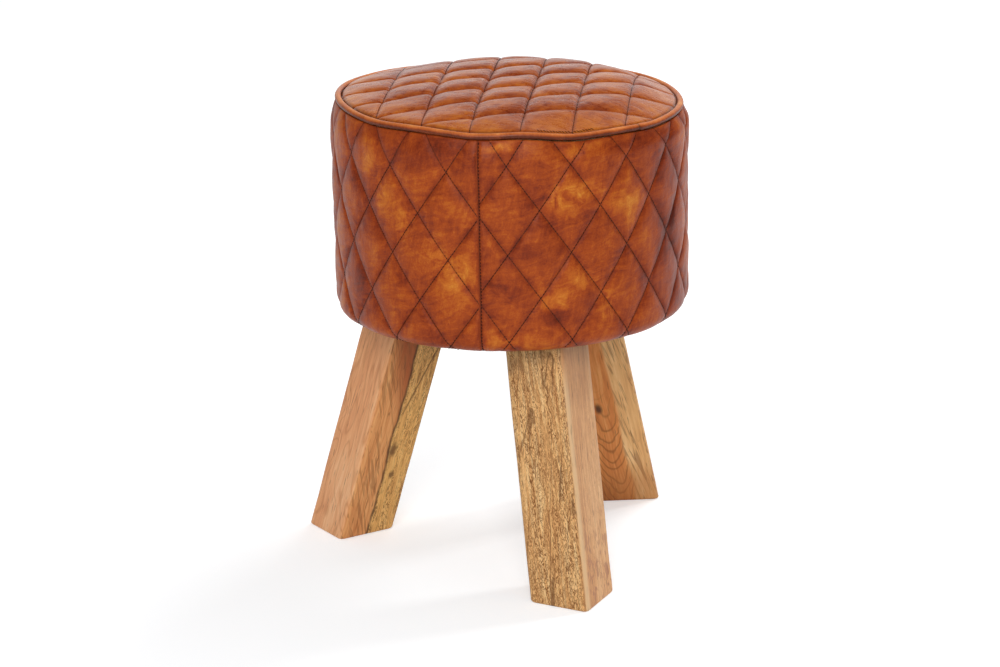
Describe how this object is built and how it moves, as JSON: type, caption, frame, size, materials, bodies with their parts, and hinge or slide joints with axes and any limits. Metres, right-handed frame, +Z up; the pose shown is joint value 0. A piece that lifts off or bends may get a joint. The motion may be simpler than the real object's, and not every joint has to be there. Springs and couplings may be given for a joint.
{
  "type": "quilted leather pouf stool",
  "caption": "Round quilted leather drum seat with a crowned top, a piped rim and splayed square wooden legs set corner outwards.",
  "frame": {"origin": "bottom centre of the bounding box: on the floor, under the middle of the footprint's box", "axes": "+Z up along the drum's axis, -Y from the drum's axis towards the front leg, +X to the right of someone who looks at the front leg"},
  "size_m": [0.3692, 0.3827, 0.465],
  "materials": {
    "quilted_leather": "waxed, semi-gloss",
    "seat_leather": "waxed, semi-gloss",
    "piping_leather": "waxed, semi-gloss",
    "foam": "open-cell foam",
    "plywood": "raw",
    "softwood": "raw",
    "zinc_steel": "zinc-plated",
    "leg_wood": "clear satin lacquer",
    "dust_cloth": "non-woven cloth"
  },
  "bodies": {
    "root": {"side_cover": "quilted_leather", "top_cover": "seat_leather", "piping": "piping_leather", "top_foam": "foam", "side_foam": "foam", "drum_wall": "plywood", "base_board": "plywood", "top_board": "plywood", "frame_posts": "softwood", "base_screws": "zinc_steel", "top_screws": "zinc_steel", "leg_front": "leg_wood", "leg_right": "leg_wood", "leg_left": "leg_wood", "leg_washers": "zinc_steel", "leg_bolts": "zinc_steel", "dust_cover": "dust_cloth"}
  },
  "joints": []
}
